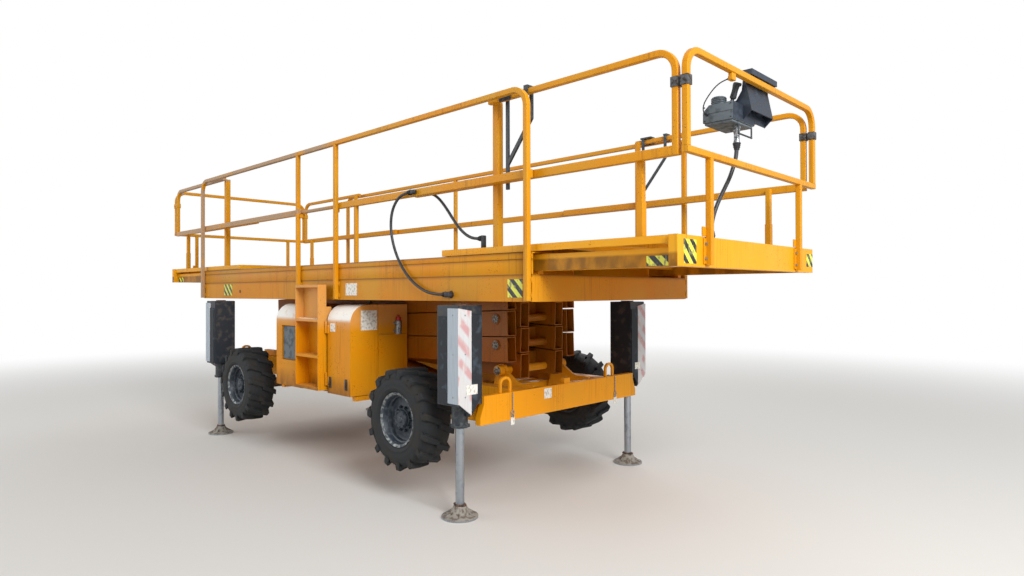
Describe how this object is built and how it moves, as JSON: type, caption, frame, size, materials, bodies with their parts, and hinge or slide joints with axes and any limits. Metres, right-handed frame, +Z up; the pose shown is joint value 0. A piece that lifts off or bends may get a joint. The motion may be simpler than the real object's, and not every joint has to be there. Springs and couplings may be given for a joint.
{
  "type": "rough terrain scissor lift",
  "caption": "Wheeled scissor lift on extended stabiliser jacks, with crossed arm stages, a railed deck and sliding deck extensions.",
  "frame": {"origin": "on the ground, midway between the four jack feet", "axes": "+X along the length to the steered end, +Y to the far side, +Z up"},
  "size_m": [8.168, 2.52, 3.211],
  "materials": {
    "yellow_paint": "worn gloss paint with rust spots",
    "tyre": "dusty rubber",
    "dark_rim": "scuffed dark paint",
    "chrome_rod": "dulled chrome",
    "black_steel": "matt black paint",
    "rubber": "scuffed rubber",
    "white_board": "faded red and white film",
    "grey_box": "grey enamel",
    "dark_plastic": "moulded",
    "cable_black": "cable sheath",
    "cast_axle": "oily, painted"
  },
  "bodies": {
    "chassis": {"chassis_frame": "yellow_paint", "pivot_brackets": "yellow_paint", "end_beams": "yellow_paint", "jack_housings": "yellow_paint", "jack_tubes": "black_steel", "warning_boards": "white_board", "rubber_strips": "rubber", "axle_front": "cast_axle", "axle_rear": "cast_axle", "cover_near": "yellow_paint", "cover_far": "yellow_paint", "control_panel": "grey_box", "engine_block": "black_steel", "oil_tank": "yellow_paint", "ladder": "yellow_paint"},
    "hood_near": {"hood_near": "yellow_paint"},
    "hood_far": {"hood_far": "yellow_paint"},
    "knuckle_near": {"knuckle_near": "cast_axle"},
    "knuckle_far": {"knuckle_far": "cast_axle"},
    "cylinder_barrel": {"cylinder_barrel": "yellow_paint"},
    "cylinder_rod": {"cylinder_rod": "chrome_rod"},
    "platform": {"platform_frame": "yellow_paint", "platform_ends": "yellow_paint", "main_deck": "yellow_paint", "side_rail_near": "yellow_paint", "side_rail_far": "yellow_paint", "cable_entry": "dark_plastic", "loop_cable": "cable_black"},
    "entry_bar": {"entry_bar": "yellow_paint"},
    "extension_front": {"extension_deck_front": "yellow_paint", "extension_rail_front": "yellow_paint", "control_box": "grey_box", "control_hood": "dark_plastic", "box_cable": "cable_black", "rail_cable": "cable_black", "drop_cable": "cable_black", "cable_fittings": "dark_plastic", "rail_hook": "black_steel"},
    "extension_rear": {"extension_deck_rear": "yellow_paint", "extension_rail_rear": "yellow_paint"},
    "arms_inner_1": {"inner_arms_1": "yellow_paint"},
    "arms_outer_1": {"outer_arms_1": "yellow_paint"},
    "arms_inner_2": {"inner_arms_2": "yellow_paint"},
    "arms_outer_2": {"outer_arms_2": "yellow_paint"},
    "arms_inner_3": {"inner_arms_3": "yellow_paint"},
    "arms_outer_3": {"outer_arms_3": "yellow_paint"},
    "wheel_front_near": {"rim_front_near": "dark_rim", "tyre_front_near": "tyre"},
    "jack_front_near": {"jack_leg_front_near": "chrome_rod"},
    "wheel_front_far": {"rim_front_far": "dark_rim", "tyre_front_far": "tyre"},
    "jack_front_far": {"jack_leg_front_far": "chrome_rod"},
    "wheel_rear_near": {"rim_rear_near": "dark_rim", "tyre_rear_near": "tyre"},
    "jack_rear_near": {"jack_leg_rear_near": "chrome_rod"},
    "wheel_rear_far": {"rim_rear_far": "dark_rim", "tyre_rear_far": "tyre"},
    "jack_rear_far": {"jack_leg_rear_far": "chrome_rod"}
  },
  "joints": [
    {"name": "lift", "type": "hinge", "parent": "chassis", "child": "arms_inner_1", "pos_m": [1.92, 0, 1.03], "axis": [0, 1, 0], "range_deg": [0, 56]},
    {"name": "middle_pin_1", "type": "hinge", "parent": "arms_inner_1", "child": "arms_outer_1", "pos_m": [-0.00171, 0, 1.1425], "axis": [0, 1, 0], "range_deg": [-112.5, 0.5]},
    {"name": "free_end_pin_1", "type": "hinge", "parent": "arms_inner_1", "child": "arms_outer_2", "pos_m": [-1.92342, 0, 1.255], "axis": [0, 1, 0], "range_deg": [-112.5, 0.5]},
    {"name": "middle_pin_2", "type": "hinge", "parent": "arms_outer_2", "child": "arms_inner_2", "pos_m": [-0.00171, 0, 1.3675], "axis": [0, 1, 0], "range_deg": [-0.5, 112.5]},
    {"name": "fixed_end_pin_2", "type": "hinge", "parent": "arms_outer_2", "child": "arms_inner_3", "pos_m": [1.92, 0, 1.48], "axis": [0, 1, 0], "range_deg": [-0.5, 112.5]},
    {"name": "middle_pin_3", "type": "hinge", "parent": "arms_inner_3", "child": "arms_outer_3", "pos_m": [-0.00171, 0, 1.5925], "axis": [0, 1, 0], "range_deg": [-112.5, 0.5]},
    {"name": "platform_pin", "type": "hinge", "parent": "arms_outer_3", "child": "platform", "pos_m": [1.92, 0, 1.705], "axis": [0, 1, 0], "range_deg": [-0.5, 56.5]},
    {"name": "cylinder_foot", "type": "hinge", "parent": "chassis", "child": "cylinder_barrel", "pos_m": [0.85, 0, 0.78], "axis": [0, 1, 0], "range_deg": [-0.5, 70.77]},
    {"name": "cylinder_stroke", "type": "slide", "parent": "cylinder_barrel", "child": "cylinder_rod", "axis": [-0.9833, 0, 0.1818], "range_m": [-0.005, 0.89403]},
    {"name": "steering", "type": "hinge", "parent": "chassis", "child": "knuckle_near", "pos_m": [1.53, -0.87, 0.665], "axis": [0, 0, 1], "range_deg": [-22, 22]},
    {"name": "steering_far", "type": "hinge", "parent": "chassis", "child": "knuckle_far", "pos_m": [1.53, 0.87, 0.665], "axis": [0, 0, 1], "range_deg": [-22.5, 22.5]},
    {"name": "wheel_spin_front_near", "type": "hinge", "parent": "knuckle_near", "child": "wheel_front_near", "pos_m": [1.53, -1.087, 0.665], "axis": [0, 1, 0], "continuous": true},
    {"name": "jack_front_near", "type": "slide", "parent": "chassis", "child": "jack_front_near", "axis": [0, 0, 1], "range_m": [0, 0.55]},
    {"name": "wheel_spin_front_far", "type": "hinge", "parent": "knuckle_far", "child": "wheel_front_far", "pos_m": [1.53, 1.087, 0.665], "axis": [0, 1, 0], "continuous": true},
    {"name": "jack_front_far", "type": "slide", "parent": "chassis", "child": "jack_front_far", "axis": [0, 0, 1], "range_m": [0, 0.55]},
    {"name": "wheel_spin_rear_near", "type": "hinge", "parent": "chassis", "child": "wheel_rear_near", "pos_m": [-1.53, -1.087, 0.665], "axis": [0, 1, 0], "continuous": true},
    {"name": "jack_rear_near", "type": "slide", "parent": "chassis", "child": "jack_rear_near", "axis": [0, 0, 1], "range_m": [0, 0.55]},
    {"name": "wheel_spin_rear_far", "type": "hinge", "parent": "chassis", "child": "wheel_rear_far", "pos_m": [-1.53, 1.087, 0.665], "axis": [0, 1, 0], "continuous": true},
    {"name": "jack_rear_far", "type": "slide", "parent": "chassis", "child": "jack_rear_far", "axis": [0, 0, 1], "range_m": [0, 0.55]},
    {"name": "hood_near_hinge", "type": "hinge", "parent": "chassis", "child": "hood_near", "pos_m": [0.268, -1.13, 1.17], "axis": [0, 0, -1], "range_deg": [0, 90]},
    {"name": "hood_far_hinge", "type": "hinge", "parent": "chassis", "child": "hood_far", "pos_m": [-0.507, 1.13, 1.17], "axis": [0, 0, 1], "range_deg": [0, 90]},
    {"name": "entry_bar_hinge", "type": "hinge", "parent": "platform", "child": "entry_bar", "pos_m": [0.325, -1.045, 2.549], "axis": [0, 0, -1], "range_deg": [0, 90]},
    {"name": "extension_slide_front", "type": "slide", "parent": "platform", "child": "extension_front", "axis": [1, 0, 0], "range_m": [-1.05, 0]},
    {"name": "extension_slide_rear", "type": "slide", "parent": "platform", "child": "extension_rear", "axis": [-1, 0, 0], "range_m": [-1.05, 0]}
  ],
  "couplings": [
    {"joint": "middle_pin_1", "follows": "lift", "ratio": -2},
    {"joint": "free_end_pin_1", "follows": "lift", "ratio": -2},
    {"joint": "middle_pin_2", "follows": "lift", "ratio": 2},
    {"joint": "fixed_end_pin_2", "follows": "lift", "ratio": 2},
    {"joint": "middle_pin_3", "follows": "lift", "ratio": -2},
    {"joint": "platform_pin", "follows": "lift", "ratio": 1},
    {"joint": "cylinder_foot", "follows": "lift", "ratio": 1.2548},
    {"joint": "cylinder_stroke", "follows": "lift", "m_per_rad": 0.9096},
    {"joint": "steering_far", "follows": "steering", "ratio": 1}
  ]
}
